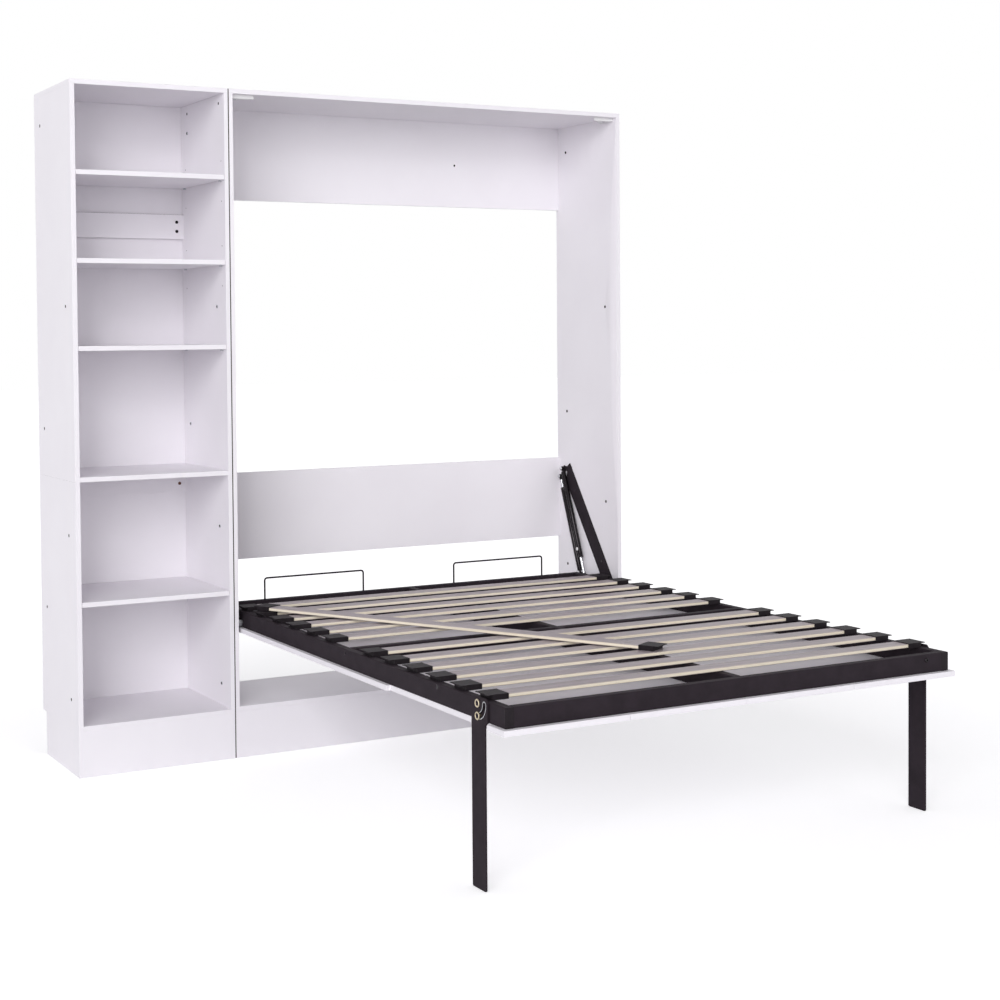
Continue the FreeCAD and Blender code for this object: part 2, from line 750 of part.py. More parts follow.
def leg_outline():
    """A flat bar with clipped toes, and at the top an ear on the foot side that carries the guide slot."""
    top = leg_pivot_z + leg_top_rise
    front = leg_y - leg_width / 2
    rear = leg_y + leg_width / 2
    ear = leg_y - leg_ear_reach
    ear_bottom = leg_pivot_z - leg_ear_drop
    points = [Vector(0, front, ear_bottom), Vector(0, front, leg_toe), Vector(0, front + leg_toe, 0),
              Vector(0, rear - leg_toe, 0), Vector(0, rear, leg_toe), Vector(0, rear, top - leg_corner),
              Vector(0, rear - leg_corner, top), Vector(0, ear + leg_corner, top),
              Vector(0, ear, top - leg_corner), Vector(0, ear, ear_bottom + leg_ear_slope)]
    return closed(points)


def guide_slot(side):
    """A quarter ring about the leg's pivot, from straight below it to its foot side."""
    half = leg_bush_radius + leg_slot_play
    pivot = (leg_y, leg_pivot_z)
    near = leg_inner - overrun
    far = leg_outer + overrun
    ring = side_bar(side, leg_guide_radius + half, near, far, pivot)
    ring = ring.cut(side_bar(side, leg_guide_radius - half, near, far, pivot))
    x0, x1 = span(side, near, far)
    quarter = block(x0, x1, leg_y - leg_width, leg_y, leg_pivot_z - leg_width, leg_pivot_z)
    ends = [side_bar(side, half, near, far, place)
            for place in [(leg_y, leg_pivot_z - leg_guide_radius), (leg_y - leg_guide_radius, leg_pivot_z)]]
    return fuse([ring.common(quarter)] + ends)


def make_legs():
    """Each leg turns on one bush and is held in its two places by another, both bolted to the rail."""
    bolts = []
    for side, word in [(-1, "left"), (1, "right")]:
        leg = side_sheet(side, leg_inner, leg_outer, leg_outline())
        pivot = (leg_y, leg_pivot_z)
        guide = (leg_y, leg_pivot_z - leg_guide_radius)
        bore = side_bar(side, leg_bush_radius + running_play,
                        leg_inner - overrun, leg_outer + overrun, pivot)
        save("leg_" + word, [leg.cut(bore).cut(guide_slot(side))])
        washer_near = leg_outer + face_play
        washer_far = washer_near + leg_washer_height
        nut_end = half_frame - tube_wall - leg_nut_length
        nut_face = half_frame - tube_wall - face_play
        for place in (pivot, guide):
            nut = side_prism(side, nut_sides, leg_nut_radius, nut_end, nut_face, place)
            shank = side_prism(side, small_bar_sides, leg_bolt_radius, nut_face, half_frame, place)
            bush = side_bar(side, leg_bush_radius, half_frame, washer_near, place)
            washer = side_prism(side, washer_sides, leg_washer_radius, washer_near, washer_far, place)
            bolts.append(fuse([nut, shank, bush, washer]))
    save("leg_bolts", bolts)


make_bookcase()
make_cabinet()
make_lifting_plates()
make_springs()
make_rails()
make_door()
make_slats()
make_mattress_stops()
make_legs()
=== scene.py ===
import json
import math

import bmesh
import bpy
from mathutils import Matrix, Vector


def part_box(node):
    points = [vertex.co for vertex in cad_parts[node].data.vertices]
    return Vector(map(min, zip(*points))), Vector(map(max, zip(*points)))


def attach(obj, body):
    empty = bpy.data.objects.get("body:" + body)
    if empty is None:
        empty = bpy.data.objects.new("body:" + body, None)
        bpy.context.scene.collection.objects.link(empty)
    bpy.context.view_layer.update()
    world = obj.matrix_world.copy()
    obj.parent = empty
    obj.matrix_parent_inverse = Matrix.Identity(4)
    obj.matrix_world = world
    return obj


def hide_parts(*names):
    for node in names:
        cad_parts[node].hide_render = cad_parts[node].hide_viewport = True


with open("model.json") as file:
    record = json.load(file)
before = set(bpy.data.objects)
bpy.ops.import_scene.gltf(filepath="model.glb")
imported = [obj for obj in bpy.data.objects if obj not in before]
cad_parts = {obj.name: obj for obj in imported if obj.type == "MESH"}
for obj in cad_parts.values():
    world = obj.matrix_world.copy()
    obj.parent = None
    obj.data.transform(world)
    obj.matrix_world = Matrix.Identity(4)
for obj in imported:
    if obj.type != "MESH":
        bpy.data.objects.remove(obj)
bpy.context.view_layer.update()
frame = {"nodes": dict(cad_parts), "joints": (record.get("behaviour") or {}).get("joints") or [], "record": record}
nodes = frame["nodes"]
slots = {piece["node"]: piece["material_slot"] for piece in frame["record"]["subparts"]}
joints = {joint["name"]: joint for joint in frame["joints"]}
mounts = {mount["name"]: mount for mount in frame["record"]["mounts"]}
sides = [(-1, "left"), (1, "right")]

# Finishes, small fittings, camera, light and floor for the wall bed, round its CAD nodes.
# All lengths are in metres, in the part's own frame: X to the right, Y to the wall, Z up.

# Camera at the photograph's viewpoint
camera_place = Vector((-2.5239, -4.5543, 1.3604))
camera_yaw = 0.4956
camera_pitch = 0.0321
camera_roll = 0.0081
camera_lens_mm = 62.153
camera_sensor_mm = 36
camera_shift = (0.0562, -0.11)

# Lamps as (name, place, width, watts), all aimed at one point, and the glow of the room
lamp_aim = Vector((0.0, 0.0, 0.9))
lamps = [("key", Vector((-12.9, -14.3, 6.4)), 13.5, 2370),
         ("fill", Vector((4.4, -18.9, 4.6)), 13.5, 600),
         ("side", Vector((-8.4, 4.6, 2.6)), 7.0, 70),
         ("glint", Vector((-4.6, -7.2, 5.0)), 0.9, 36)]
room_colour = (0.97, 0.96, 1.0)
room_strength = 0.39

# Floor: how far it reaches, how far it lies under the part, and its glow near the part and far away
floor_reach = 40
floor_drop = 0.0005
floor_colour = (0.82, 0.82, 0.83)
floor_roughness = 0.9
floor_specular = 0.0
floor_glow_near = 0.50
floor_glow_far = 0.80
floor_near = 1.2
floor_far = 4.5

# Colours, linear
board_light = (0.896, 0.870, 0.912)
board_shade = (0.880, 0.852, 0.896)
# Board core, far darker than bare board: painted shade for the holes and the joint lines
painted_shade_light = (0.032, 0.019, 0.011)
painted_shade_dark = (0.012, 0.007, 0.004)
steel_light = (0.0230, 0.0172, 0.0222)
steel_dark = (0.0170, 0.0126, 0.0164)
plastic_light = (0.0130, 0.0100, 0.0125)
plastic_dark = (0.0085, 0.0066, 0.0081)
lacquer_light = (0.0085, 0.0066, 0.0084)
lacquer_dark = (0.0060, 0.0046, 0.0058)
film_light = (0.470, 0.402, 0.424)
film_dark = (0.235, 0.194, 0.207)
ply_light = (0.960, 0.890, 0.750)
ply_dark = (0.800, 0.700, 0.540)
chrome_light = (0.66, 0.66, 0.69)
chrome_dark = (0.50, 0.50, 0.53)
zinc_light = (0.70, 0.71, 0.73)
zinc_dark = (0.46, 0.47, 0.50)
brass_light = (0.75, 0.66, 0.50)
brass_dark = (0.48, 0.41, 0.29)
copper_light = (0.18, 0.09, 0.07)
copper_dark = (0.09, 0.045, 0.035)
moulding_light = (0.84, 0.83, 0.84)
moulding_dark = (0.79, 0.78, 0.79)
plain_tint = (1, 1, 1)
black_tint = (1.0, 0.92, 0.99)

# Noise in the finishes: the range in use, its detail, the spread of roughness, the strength of relief
colour_low = 0.35
colour_high = 0.65
noise_low = 0.3
noise_high = 0.7
cloud_detail = 3
grain_detail = 2
gloss_spread = 0.06
relief_strength = 0.5

# Grained finishes as (name, dark, light, cloud and grain scale, roughness, specular, relief, metal, tint)
coats = [
    ("white_board", board_shade, board_light, 5, 650, 0.44, 0.35, 0.00006, 0.0, plain_tint),
    ("white_plastic", moulding_dark, moulding_light, 30, 900, 0.38, 0.45, 0.00005, 0.0, plain_tint),
    ("black_steel", steel_dark, steel_light, 22, 1500, 0.72, 0.16, 0.00008, 0.0, black_tint),
    ("black_plastic", plastic_dark, plastic_light, 60, 1100, 0.60, 0.18, 0.00010, 0.0, black_tint),
    ("spring_black", lacquer_dark, lacquer_light, 40, 900, 0.16, 0.24, 0.00002, 0.0, black_tint),
    ("spring_rod", chrome_dark, chrome_light, 90, 1600, 0.16, 0.5, 0.00001, 1.0, plain_tint),
    ("zinc", zinc_dark, zinc_light, 260, 1400, 0.36, 0.5, 0.00004, 1.0, plain_tint),
    ("brass_zinc", brass_dark, brass_light, 240, 1400, 0.34, 0.5, 0.00004, 1.0, plain_tint),
    ("copper_zinc", copper_dark, copper_light, 240, 1400, 0.40, 0.5, 0.00004, 1.0, plain_tint),
    # board_core: bare board darkened into a painted shade, used in the holes and for the joint lines
    ("board_core", painted_shade_dark, painted_shade_light, 420, 1200, 0.85, 0.2, 0.0004, 0.0, plain_tint),
]

# Slats of bent plywood: stretch, scale and detail of the film's streaks and of the layers at the edges
streak_stretch = (0.6, 0.012, 0.012)
streak_scale = 4
streak_detail = 6
layer_stretch = (0.9, 0.9, 0.0016)
layer_scale = 1
layer_detail = 3
film_roughness = 0.42
film_roughness_range = (0.36, 0.50)
film_specular = 0.45
film_relief = 0.0002
film_relief_strength = 0.4
loose_slat_turn = math.radians(-61)

# Rounded edges of the boards, steel and plastic
weld_reach = 0.00002
board_round = 0.0007
steel_round = 0.0006
plastic_round = 0.0005
round_angle = math.radians(35)
flat_angle = math.radians(0.5)
round_steps = 2

# Added pieces: steps round a turned one, and the angle from which an edge stays sharp
turn_steps = 36
sharp_angle = math.radians(38)

# Wire mattress stops
wire_radius = 0.003
wire_bend = 0.009
wire_sides = 16
bend_steps = 8

# Bolts of the legs: a brass-coloured ring with a black socket screw in it
guide_drop = 0.031
bolt_ring_radius = 0.0105
bolt_ring_inside = 0.0076
bolt_ring_height = 0.0034
bolt_ring_edge_share = 0.25
bolt_dish_height = 0.0026
bolt_face_play = 0.0002
bolt_head_radius = 0.0066
bolt_head_height = 0.0032
bolt_socket_radius = 0.0034

# Bright zinc band round each leg's guide slot: a painted highlight where the slot's edge catches the light
slot_half = 0.0073
slot_edge_width = 0.0016
slot_edge_height = 0.00015
slot_steps = 12

# Painted shade lines: dark strips where the gaps at the joints lie in shadow, between the two cabinets, and fine
# ones between the boards of their sides
cabinet_line_width = 0.0034
line_proud = 0.0001
seam_faces = [("bookcase_left", -1), ("bookcase_right", -1), ("cabinet_right", -1), ("cabinet_right", 1)]
seam_line_width = 0.0006
seam_line_sink = 0.0002
groove_rise = 0.0001

# Screw heads and buttons: steps up their sides as shares of radius and height, and the six-sided socket
head_steps = [(1.0, 0.0), (1.0, 0.3), (0.9, 0.7), (0.68, 1.0)]
dome_steps = [(1.0, 0.0), (1.0, 0.35), (0.9, 0.68), (0.6, 0.92), (0.0, 1.0)]
socket_rim_share = 1.12
socket_lip_share = 0.94
socket_floor_share = 0.2
socket_sides = 6

# Other screws, plugs and holes, with their places on the pieces that carry them
head_radius = 0.0065
head_height = 0.0030
head_socket = 0.0030
flat_radius = 0.0055
flat_height = 0.0003
flat_socket = 0.0026
rail_bolt_places = [0.342, 0.898, 1.800]
rail_bolt_drop = 0.010
foot_bolt_inset = 0.080
plate_screw_places = [(0.280, 0.771), (0.105, 0.522)]
plate_screw_radius = 0.0038
plate_thickness = 0.003
cam_radius = 0.0075
cam_inset = 0.050
cam_places = [0.060, 0.300]
wall_screw_inset = 0.025
wall_screw_rises = [0.026, 0.057]
strip_thickness = 0.0025
shelf_screw_inset = 0.022
shelf_screw_rise = 0.030
plug_places = [0.048, 0.340]
plug_drop = 0.028
plug_radius = 0.0045
pin_hole_shelves = [1, 2]
pin_columns = [0.032, 0.362]
pin_drop = 0.0025
pin_pitch = 0.064
pin_hole_radius = 0.0021
pin_shade_depth = 0.0006
joint_cap_radius = 0.0042
# Drilled holes: their lining of bare board, darkened into a painted shade, and a painted shade ring round each
# hole
hole_wall_share = 0.06
hole_shade_rim_share = 0.30
hole_shade_rim_height = 0.0001

# Gas springs, as in the part
eye_radius = 0.008
eye_half = 0.005
eye_bore = 0.00355
eye_rim_share = 0.12
eye_root_share = 0.8
eye_rim = eye_radius * eye_rim_share
eye_root = eye_radius * eye_root_share
eye_profile = [(eye_bore, -eye_half), (eye_radius - eye_rim, -eye_half), (eye_radius, eye_rim - eye_half),
               (eye_radius, eye_half - eye_rim), (eye_radius - eye_rim, eye_half), (eye_bore, eye_half)]
eye_neck = 0.014
neck_radius = 0.0045
neck_collar_share = 1.3
neck_end_share = 1.1
rod_radius = 0.0045
rod_play = 0.00005
barrel_radius = 0.009
barrel_end_wall = 0.006
barrel_end_room = 0.002
barrel_chamfer = 0.0012
barrel_groove_place = 0.010
barrel_groove_width = 0.0030
barrel_groove_depth = 0.0008
bare_rods = {"a": 0.045, "b": 0.075}
ball_radius = 0.0062
ball_height = 0.0045
# A small white dome on spring b's cylinder: a painted highlight where light glints off the cylinder
glint_dot_radius = 0.0065
glint_dot_height = 0.0030
glint_dot_place = 0.315
glint_dot_seat_share = 0.9

# Corner braces: rim and screw under each triangular block
brace_rim = 0.0012
brace_rim_sides = 8
brace_inset = 0.006
brace_far_share = 2.4
brace_screw_share = 0.30


def skin(data, rings, loop=False):
    """Faces between neighbouring rings of corners; a ring of one corner closes to a point."""
    pairs = list(zip(rings, rings[1:]))
    if loop:
        pairs.append((rings[-1], rings[0]))
    for low, high in pairs:
        count = max(len(low), len(high))
        for step in range(count):
            after = (step + 1) % count
            corners = [low[step % len(low)], low[after % len(low)],
                       high[after % len(high)], high[step % len(high)]]
            data.faces.new(list(dict.fromkeys(corners)))


def lathe(data, profile, place, axis, loop=False):
    """Turns a row of (radius, height) or (radius, height, flat sides) about an axis through a place."""
    axis = Vector(axis).normalized()
    first = axis.orthogonal().normalized()
    second = axis.cross(first)
    rings = []
    for radius, height, *flats in profile:
        centre = Vector(place) + axis * height
        if radius == 0:
            rings.append([data.verts.new(centre)])
            continue
        ring = []
        for step in range(turn_steps):
            angle = 2 * math.pi * step / turn_steps
            reach = radius
            if flats:
                sector = 2 * math.pi / flats[0]
                reach = radius * math.cos(sector / 2) / math.cos(angle % sector - sector / 2)
            spoke = first * math.cos(angle) + second * math.sin(angle)
            ring.append(data.verts.new(centre + spoke * reach))
        rings.append(ring)
    skin(data, rings, loop)


def tube(data, points, radius, count, loop=False):
    """A round bar along a row of points in one plane, with closed ends unless it is a loop."""
    last = len(points) - 1
    flat = (points[1] - points[0]).cross(points[-1] - points[1]).normalized()
    rings = []
    for index, point in enumerate(points):
        before = points[index - 1] if index > 0 or loop else point
        after = points[(index + 1) % len(points)] if index < last or loop else point
        heading = (after - before).normalized()
        across = heading.cross(flat)
        ring = []
        for step in range(count):
            angle = 2 * math.pi * (step + 0.5) / count
            spoke = across * math.cos(angle) + flat * math.sin(angle)
            ring.append(data.verts.new(point + spoke * radius))
        rings.append(ring)
    skin(data, rings, loop)
    if not loop:
        data.faces.new(rings[0])
        data.faces.new(rings[-1])


def new_piece(name, data, body, finish):
    """An object of a finished mesh, smooth apart from its sharp edges, that rides on a body."""
    bmesh.ops.recalc_face_normals(data, faces=data.faces)
    mesh = bpy.data.meshes.new(name)
    data.to_mesh(mesh)
    data.free()
    mesh.polygons.foreach_set("use_smooth", [True] * len(mesh.polygons))
    mesh.set_sharp_from_angle(angle=sharp_angle)
    mesh.materials.append(finishes[finish])
    piece = bpy.data.objects.new(name, mesh)
    bpy.context.scene.collection.objects.link(piece)
    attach(piece, body)
    return piece


def round_head(radius, height, socket):
    """The profile of a domed screw head with a six-sided socket."""
    floor = height * socket_floor_share
    return [(radius * across, height * up) for across, up in head_steps] + [
        (socket * socket_rim_share, height), (socket, height * socket_lip_share, socket_sides),
        (socket, floor, socket_sides), (0, floor)]


def dome(radius, height):
    """The profile of a rounded button."""
    return [(radius * across, height * up) for across, up in dome_steps]


def new_material(name, roughness, specular):
    """A material with its shader and node tree."""
    material = bpy.data.materials.new(name)
    material.use_nodes = True
    tree = material.node_tree
    shader = tree.nodes["Principled BSDF"]
    shader.inputs["Roughness"].default_value = roughness
    shader.inputs["Specular IOR Level"].default_value = specular
    return material, shader, tree


def stretched(tree, stretch, turn=0.0):
    """The part's own coordinates, turned about Z and stretched along each axis."""
    source = tree.nodes.new("ShaderNodeTexCoord")
    mapping = tree.nodes.new("ShaderNodeMapping")
    mapping.vector_type = "TEXTURE"
    mapping.inputs["Rotation"].default_value = (0, 0, turn)
    mapping.inputs["Scale"].default_value = stretch
    tree.links.new(source.outputs["Object"], mapping.inputs["Vector"])
    return mapping.outputs["Vector"]


def noise(tree, vector, scale, detail):
    """A soft noise at the places that a vector gives."""
    node = tree.nodes.new("ShaderNodeTexNoise")
    node.inputs["Scale"].default_value = scale
    node.inputs["Detail"].default_value = detail
    tree.links.new(vector, node.inputs["Vector"])
    return node.outputs["Fac"]


def between(tree, value, dark, light):
    """A colour that runs from dark to light with a noise."""
    node = tree.nodes.new("ShaderNodeValToRGB")
    node.color_ramp.elements[0].position = colour_low
    node.color_ramp.elements[0].color = (*dark, 1)
    node.color_ramp.elements[1].position = colour_high
    node.color_ramp.elements[1].color = (*light, 1)
    tree.links.new(value, node.inputs["Fac"])
    return node.outputs["Color"]


def vary(tree, value, socket, low, high):
    """Lets a shader's number run between two values with a noise."""
    node = tree.nodes.new("ShaderNodeMapRange")
    node.inputs["From Min"].default_value = noise_low
    node.inputs["From Max"].default_value = noise_high
    node.inputs["To Min"].default_value = low
    node.inputs["To Max"].default_value = high
    tree.links.new(value, node.inputs["Value"])
    tree.links.new(node.outputs["Result"], socket)


def bump(tree, shader, value, depth, strength):
    """Fine relief from a noise."""
    node = tree.nodes.new("ShaderNodeBump")
    node.inputs["Distance"].default_value = depth
    node.inputs["Strength"].default_value = strength
    tree.links.new(value, node.inputs["Height"])
    tree.links.new(node.outputs["Normal"], shader.inputs["Normal"])


def grained(name, dark, light, cloud_scale, grain_scale, roughness, specular, relief, metal, tint):
    """A finish with soft clouds of colour and a fine grain that shows in its gloss and its relief."""
    material, shader, tree = new_material(name, roughness, specular)
    shader.inputs["Specular Tint"].default_value = (*tint, 1)
    shader.inputs["Metallic"].default_value = metal
    place = stretched(tree, (1, 1, 1))
    clouds = noise(tree, place, cloud_scale, cloud_detail)
    grain = noise(tree, place, grain_scale, grain_detail)
    tree.links.new(between(tree, clouds, dark, light), shader.inputs["Base Color"])
    vary(tree, grain, shader.inputs["Roughness"], roughness - gloss_spread, roughness + gloss_spread)
    bump(tree, shader, grain, relief, relief_strength)
    return material


def slat_wood(name, turn):
    """Bent plywood: a grey film with fine streaks above and below, pale layered edges."""
    material, shader, tree = new_material(name, film_roughness, film_specular)
    streaks = noise(tree, stretched(tree, streak_stretch, turn), streak_scale, streak_detail)
    layers = noise(tree, stretched(tree, layer_stretch, turn), layer_scale, layer_detail)
    film = between(tree, streaks, film_dark, film_light)
    ply = between(tree, layers, ply_dark, ply_light)
    source = tree.nodes.new("ShaderNodeTexCoord")
    split = tree.nodes.new("ShaderNodeSeparateXYZ")
    size = tree.nodes.new("ShaderNodeMath")
    size.operation = "ABSOLUTE"
    mix = tree.nodes.new("ShaderNodeMix")
    mix.data_type = "RGBA"
    # The mix node's colour sockets share their names with its number sockets, so they go by index.
    factor, edge_colour, face_colour = mix.inputs[0], mix.inputs[6], mix.inputs[7]
    tree.links.new(source.outputs["Normal"], split.inputs[0])
    tree.links.new(split.outputs["Z"], size.inputs[0])
    tree.links.new(size.outputs[0], factor)
    tree.links.new(ply, edge_colour)
    tree.links.new(film, face_colour)
    tree.links.new(mix.outputs[2], shader.inputs["Base Color"])
    vary(tree, streaks, shader.inputs["Roughness"], *film_roughness_range)
    bump(tree, shader, streaks, film_relief, film_relief_strength)
    return material


def soften(piece, width):
    """Rounds the sharp edges of a CAD node without touching its own mesh."""
    weld = piece.modifiers.new("weld", "WELD")
    weld.merge_threshold = weld_reach
    flatten = piece.modifiers.new("flatten", "DECIMATE")
    flatten.decimate_type = "DISSOLVE"
    flatten.angle_limit = flat_angle
    bevel = piece.modifiers.new("round", "BEVEL")
    bevel.width = width
    bevel.segments = round_steps
    bevel.limit_method = "ANGLE"
    bevel.angle_limit = round_angle


def paint_nodes():
    """Gives each CAD node its finish, and soft edges where its material has them."""
    widths = {"white_board": board_round, "black_steel": steel_round, "black_plastic": plastic_round}
    for name, node in nodes.items():
        slot = slots[name]
        node.data.materials.clear()
        node.data.materials.append(finishes["slat_wood_turned" if name == "loose_slat" else slot])
        if slot in widths:
            soften(node, widths[slot])


def make_stops():
    """Smooth bent wire in the place of each mattress stop."""
    for _, word in sides:
        low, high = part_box("mattress_stop_" + word)
        ends = [low.x + wire_radius, high.x - wire_radius]
        y = (low.y + high.y) / 2
        top = high.z - wire_radius
        points = [Vector((ends[0], y, low.z))]
        for end, inward, start in [(ends[0], 1, math.pi), (ends[1], -1, math.pi / 2)]:
            middle = Vector((end + inward * wire_bend, y, top - wire_bend))
            for step in range(bend_steps + 1):
                angle = start - math.pi / 2 * step / bend_steps
                points.append(middle + Vector((math.cos(angle), 0, math.sin(angle))) * wire_bend)
        points.append(Vector((ends[1], y, low.z)))
        data = bmesh.new()
        tube(data, points, wire_radius, wire_sides)
        piece = new_piece("stop_wire_" + word, data, "bed", "black_steel")
        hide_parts("mattress_stop_" + word)


def make_leg_bolts():
    """The ring and the socket screw on the outside of each leg bolt."""
    edge = bolt_ring_height * bolt_ring_edge_share
    ring = [(bolt_ring_radius, 0), (bolt_ring_radius, bolt_ring_height - edge),
            (bolt_ring_radius - edge, bolt_ring_height), (bolt_ring_inside + edge, bolt_ring_height),
            (bolt_ring_inside, bolt_dish_height), (0, bolt_dish_height)]
    head = round_head(bolt_head_radius, bolt_head_height - bolt_dish_height, bolt_socket_radius)
    for side, word in sides:
        low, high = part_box("leg_" + word)
        pivot = Vector(joints[word + "_leg_fold"]["pos_m"])
        outer = low.x if side < 0 else high.x
        outward = Vector((side, 0, 0))
        rings = bmesh.new()
        screws = bmesh.new()
        for drop in (0, guide_drop):
            place = Vector((outer + side * bolt_face_play, pivot.y, pivot.z - drop))
            lathe(rings, ring, place, outward)
            lathe(screws, head, place + outward * bolt_dish_height, outward)
        new_piece("leg_bolt_rings_" + word, rings, "bed", "brass_zinc")
        new_piece("leg_bolt_screws_" + word, screws, "bed", "black_steel")


def slot_arc(centre, radius, start, end):
    """Points along an arc in the plane of a leg's face."""
    points = []
    for step in range(slot_steps + 1):
        angle = start + (end - start) * step / slot_steps
        points.append(centre + Vector((0, math.cos(angle), math.sin(angle))) * radius)
    return points


def slot_outline(pivot, grow):
    """The outline of the guide slot round a leg's pivot, made larger by a margin."""
    down = 1.5 * math.pi
    forward = math.pi
    half = slot_half + grow
    guide = pivot + Vector((0, 0, -guide_drop))
    stop = pivot + Vector((0, -guide_drop, 0))
    outer = slot_arc(pivot, guide_drop + half, down, forward)
    front_end = slot_arc(stop, half, forward, 0)
    inner = slot_arc(pivot, guide_drop - half, forward, down)
    low_end = slot_arc(guide, half, math.pi / 2, -math.pi / 2)
    return outer + front_end + inner + low_end


def make_slot_highlights():
    """A painted highlight: a bright band along the edge of the curved slot in each leg, on the leg's outer face.
    """
    for side, word in sides:
        low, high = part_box("leg_" + word)
        pivot = Vector(joints[word + "_leg_fold"]["pos_m"])
        pivot.x = low.x if side < 0 else high.x
        lift = Vector((side * slot_edge_height, 0, 0))
        data = bmesh.new()
        rings = []
        for near, far in zip(slot_outline(pivot, 0), slot_outline(pivot, slot_edge_width)):
            corners = (near - lift, near + lift, far + lift, far - lift)
            rings.append([data.verts.new(corner) for corner in corners])
        skin(data, rings, loop=True)
        new_piece("slot_edge_" + word, data, "leg_" + word, "zinc")


def make_rail_bolts():
    """Flat bolts along the outside of the rails and a round one on the foot rail's face."""
    for side, word in sides:
        low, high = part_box("rail_" + word)
        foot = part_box("foot_rail")[0].y
        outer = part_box("rail_plugs")[0 if side < 0 else 1].x
        data = bmesh.new()
        for distance in rail_bolt_places:
            place = Vector((outer, foot + distance, high.z - rail_bolt_drop))
            lathe(data, round_head(flat_radius, flat_height, flat_socket), place, (side, 0, 0))
        if side > 0:
            place = Vector((outer - side * foot_bolt_inset, foot, (low.z + high.z) / 2 + rail_bolt_drop))
            lathe(data, round_head(head_radius, head_height, head_socket), place, (0, -1, 0))
        new_piece("rail_bolts_" + word, data, "bed", "spring_black")


def make_plate_screws():
    """Flat screws through the lifting plates and the balls on the springs' upper studs."""
    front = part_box("cabinet_top")[0].y
    head = round_head(plate_screw_radius, flat_height / 2, flat_socket / 2)
    for side, word in sides:
        low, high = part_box("lifting_plate_" + word)
        wall = high.x if side > 0 else low.x
        tip = low.x if side > 0 else high.x
        data = bmesh.new()
        for distance, height in plate_screw_places:
            place = Vector((wall - side * plate_thickness, front + distance, height))
            lathe(data, head, place, (-side, 0, 0))
        new_piece("plate_screws_" + word, data, "cabinet", "spring_black")
        balls = bmesh.new()
        for letter in "ab":
            stud = Vector(joints["%s_spring_%s_swing" % (word, letter)]["pos_m"])
            lathe(balls, dome(ball_radius, ball_height), Vector((tip, stud.y, stud.z)), (-side, 0, 0))
        new_piece("stud_balls_" + word, balls, "cabinet", "zinc")


def make_rod(node, label, start, end, length):
    """A gas spring's bright rod, from its eye into the barrel, and the black eye on it."""
    run = (end - start).normalized()
    tip = length - eye_neck - barrel_end_wall - barrel_end_room
    data = bmesh.new()
    lathe(data, [(0, eye_root), (rod_radius, eye_root), (rod_radius, tip - barrel_chamfer),
                 (rod_radius - barrel_chamfer, tip), (0, tip)], start, run)
    rod = new_piece("rod_" + label, data, node, "spring_rod")
    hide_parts(node)
    collar = neck_radius * neck_collar_share
    data = bmesh.new()
    lathe(data, eye_profile, start, (1, 0, 0), loop=True)
    lathe(data, [(neck_radius, eye_root), (collar, eye_radius + eye_rim), (collar, eye_neck - eye_rim),
                 (neck_radius * neck_end_share, eye_neck), (0, eye_neck)], start, run)
    new_piece("rod_eye_" + label, data, node, "spring_black")


def make_barrel(node, label, start, end, length, mouth):
    """A gas spring's cylinder with its bore, the groove near its mouth and its own eye."""
    run = (end - start).normalized()
    tail = length - eye_neck
    bore = rod_radius + rod_play
    bottom = tail - barrel_end_wall
    groove = mouth + barrel_groove_place
    data = bmesh.new()
    lathe(data, [(0, bottom), (bore, bottom), (bore, mouth),
                 (barrel_radius - barrel_chamfer, mouth), (barrel_radius, mouth + barrel_chamfer),
                 (barrel_radius, groove),
                 (barrel_radius - barrel_groove_depth, groove + barrel_groove_width / 2),
                 (barrel_radius, groove + barrel_groove_width),
                 (barrel_radius, tail - barrel_chamfer * 2), (barrel_radius - barrel_chamfer, tail),
                 (neck_radius, tail), (neck_radius, length - eye_root), (0, length - eye_root)],
          start, run)
    lathe(data, eye_profile, end, (1, 0, 0), loop=True)
    barrel = new_piece("barrel_" + label, data, node, "spring_black")
    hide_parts(node)


def make_spring(side, word, letter, rod_on_top):
    """Smooth turned pieces in the place of one gas spring's rod and cylinder."""
    label = letter + "_" + word
    rod_node = "spring_%s_rod_%s" % (letter, word)
    barrel_node = "spring_%s_cylinder_%s" % (letter, word)
    upper = Vector(joints["%s_spring_%s_swing" % (word, letter)]["pos_m"])
    heading = Vector(joints["%s_spring_%s_stroke" % (word, letter)]["axis"])
    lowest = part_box(barrel_node if rod_on_top else rod_node)[0].z + eye_radius
    length = (upper.z - lowest) / -heading.z
    start, end = upper, upper + heading * length
    if not rod_on_top:
        start, end = end, start
    make_rod(rod_node, label, start, end, length)
    make_barrel(barrel_node, label, start, end, length, bare_rods[letter])
    # Spring b gets a small white dome on its cylinder: a painted highlight where light glints off it
    if letter == "b":
        seat = Vector((-side * barrel_radius * glint_dot_seat_share, 0, 0))
        place = upper + heading * glint_dot_place + seat
        data = bmesh.new()
        lathe(data, dome(glint_dot_radius, glint_dot_height), place, (-side, 0, 0))
        new_piece("spring_painted_glint_" + word, data, barrel_node, "white_plastic")


def make_shelf_cams():
    """Flat cams under the fixed shelf."""
    low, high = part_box("bookcase_fixed_shelf")
    data = bmesh.new()
    for x in (low.x + cam_inset, high.x - cam_inset):
        for distance in cam_places:
            place = Vector((x, low.y + distance, low.z))
            lathe(data, round_head(cam_radius, flat_height, flat_socket), place, (0, 0, -1))
    new_piece("shelf_cams", data, "cabinet", "zinc")


def make_back_rail_screws():
    """Two screws at each end of the narrow board across the bookcase's back."""
    low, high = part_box("bookcase_back_rail")
    data = bmesh.new()
    for x in (low.x + wall_screw_inset, high.x - wall_screw_inset):
        for rise in wall_screw_rises:
            place = Vector((x, low.y, low.z + rise))
            lathe(data, round_head(flat_radius, head_height / 2, flat_socket), place, (0, -1, 0))
    new_piece("back_rail_screws", data, "cabinet", "spring_black")


